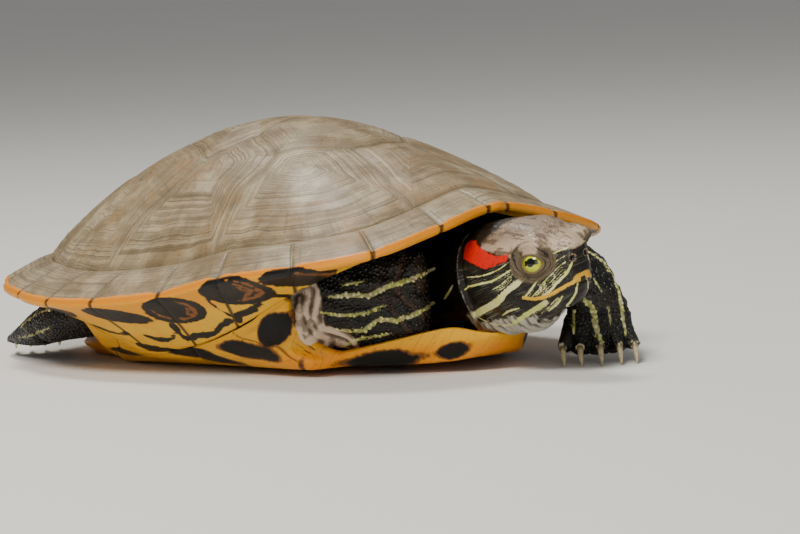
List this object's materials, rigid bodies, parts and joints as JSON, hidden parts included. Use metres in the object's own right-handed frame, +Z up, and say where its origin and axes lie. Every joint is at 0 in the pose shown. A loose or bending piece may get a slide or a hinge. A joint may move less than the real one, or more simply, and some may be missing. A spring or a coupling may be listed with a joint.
{
  "type": "red-eared slider turtle",
  "caption": "Life-size still model of a freshwater turtle lying on its plastron, head out, one foreleg standing, the other limbs tucked.",
  "frame": {"origin": "on the floor, under the middle of the animal's box", "axes": "+X towards the snout, along the animal; +Y to the animal's left; +Z up"},
  "size_m": [0.2521, 0.1718, 0.0834],
  "materials": {
    "carapace_horn": "weathered olive-tan horn plates with growth rings",
    "plastron_horn": "smooth yellow-orange horn with dark blotches",
    "skin": "black scaly skin with yellow-green stripes",
    "eye": "wet glossy yellow-green eye with a dark bar",
    "claw_horn": "cream horn, darker at the root"
  },
  "bodies": {
    "root": {"carapace": "carapace_horn", "plastron": "plastron_horn", "trunk": "skin", "neck": "skin", "head": "skin", "lower_jaw": "skin", "eye_left": "eye", "eye_right": "eye", "foreleg_left": "skin", "forefoot_left": "skin", "foreleg_right": "skin", "forefoot_right": "skin", "hindleg_left": "skin", "hindfoot_left": "skin", "hindleg_right": "skin", "hindfoot_right": "skin", "tail": "skin", "claw_fore_left_1": "claw_horn", "claw_fore_left_2": "claw_horn", "claw_fore_left_3": "claw_horn", "claw_fore_left_4": "claw_horn", "claw_fore_left_5": "claw_horn", "claw_fore_right_1": "claw_horn", "claw_fore_right_2": "claw_horn", "claw_fore_right_3": "claw_horn", "claw_fore_right_4": "claw_horn", "claw_fore_right_5": "claw_horn", "claw_hind_left_1": "claw_horn", "claw_hind_left_2": "claw_horn", "claw_hind_left_3": "claw_horn", "claw_hind_left_4": "claw_horn", "claw_hind_right_1": "claw_horn", "claw_hind_right_2": "claw_horn", "claw_hind_right_3": "claw_horn", "claw_hind_right_4": "claw_horn"}
  },
  "joints": []
}
